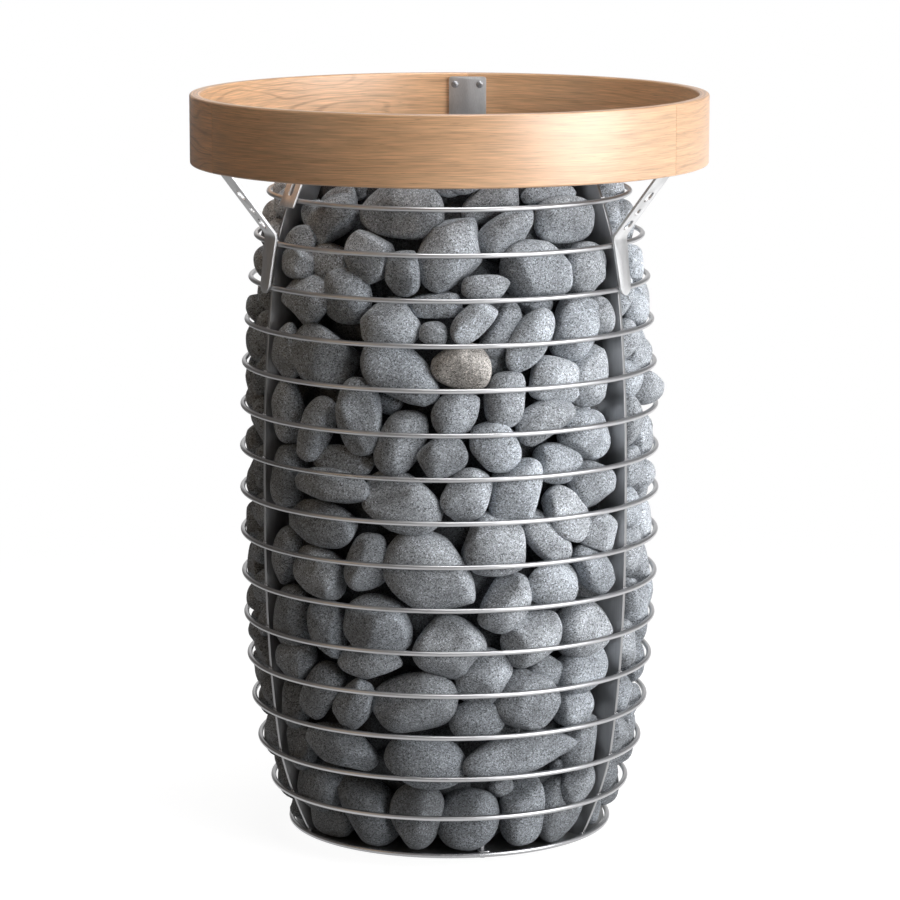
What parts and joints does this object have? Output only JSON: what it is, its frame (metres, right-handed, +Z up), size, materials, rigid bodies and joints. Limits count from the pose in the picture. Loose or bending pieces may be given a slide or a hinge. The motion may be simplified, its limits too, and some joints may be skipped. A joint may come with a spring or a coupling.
{
  "type": "sauna heater stove",
  "caption": "Free-standing electric sauna heater: barrel cage of rod rings on plate ribs, filled with stones round tubular elements, with a bent-wood safety railing on strap brackets.",
  "frame": {"origin": "on the floor, under the middle of the cage, with the levelling feet screwed fully in", "axes": "+Z up along the cage's axis, -Y towards the front, where the bay between two ribs faces the viewer"},
  "size_m": [0.507, 0.507, 0.74],
  "materials": {
    "rod_steel": "bright drawn stainless rod",
    "plate_steel": "cold-rolled stainless plate",
    "strap_steel": "brushed stainless strap",
    "screw_steel": "bright stainless",
    "element_steel": "heat-tinted sheath",
    "oak": "oiled veneer laminate",
    "stone": "tumbled, dull",
    "porcelain": "unglazed",
    "brass": "plain",
    "silicone": "matte"
  },
  "bodies": {
    "heater": {"cage_ring_01": "rod_steel", "cage_ring_02": "rod_steel", "cage_ring_03": "rod_steel", "cage_ring_04": "rod_steel", "cage_ring_05": "rod_steel", "cage_ring_06": "rod_steel", "cage_ring_07": "rod_steel", "cage_ring_08": "rod_steel", "cage_ring_09": "rod_steel", "cage_ring_10": "rod_steel", "cage_ring_11": "rod_steel", "cage_ring_12": "rod_steel", "cage_ring_13": "rod_steel", "cage_ring_14": "rod_steel", "cage_ring_15": "rod_steel", "cage_ring_16": "rod_steel", "cage_ring_17": "rod_steel", "rib_01": "plate_steel", "rib_02": "plate_steel", "rib_03": "plate_steel", "base_plate": "plate_steel", "base_screw_01": "screw_steel", "base_screw_02": "screw_steel", "base_screw_03": "screw_steel", "railing_bracket_01": "strap_steel", "railing_bracket_02": "strap_steel", "railing_bracket_03": "strap_steel", "railing_screw_01": "screw_steel", "railing_screw_02": "screw_steel", "railing_screw_03": "screw_steel", "railing_screw_04": "screw_steel", "railing_screw_05": "screw_steel", "railing_screw_06": "screw_steel", "wood_railing": "oak", "hanger_clip": "strap_steel", "heating_element_01": "element_steel", "heating_element_02": "element_steel", "heating_element_03": "element_steel", "terminal_housing": "plate_steel", "terminal_block": "porcelain", "star_bar": "brass", "cord_grommet": "silicone", "stones_left_lower": "stone", "stones_left_middle": "stone", "stones_left_upper": "stone", "stones_front_lower": "stone", "stones_front_middle": "stone", "stones_front_upper": "stone", "stones_right_lower": "stone", "stones_right_middle": "stone", "stones_right_upper": "stone", "stones_core": "stone", "stones_top": "stone"},
    "foot_back": {"levelling_foot_01": "screw_steel"},
    "foot_left": {"levelling_foot_02": "screw_steel"},
    "foot_right": {"levelling_foot_03": "screw_steel"}
  },
  "joints": [
    {"name": "foot_back_thread", "type": "slide", "parent": "heater", "child": "foot_back", "axis": [0, 0, -1], "range_m": [0, 0.012]},
    {"name": "foot_left_thread", "type": "slide", "parent": "heater", "child": "foot_left", "axis": [0, 0, -1], "range_m": [0, 0.012]},
    {"name": "foot_right_thread", "type": "slide", "parent": "heater", "child": "foot_right", "axis": [0, 0, -1], "range_m": [0, 0.012]}
  ]
}
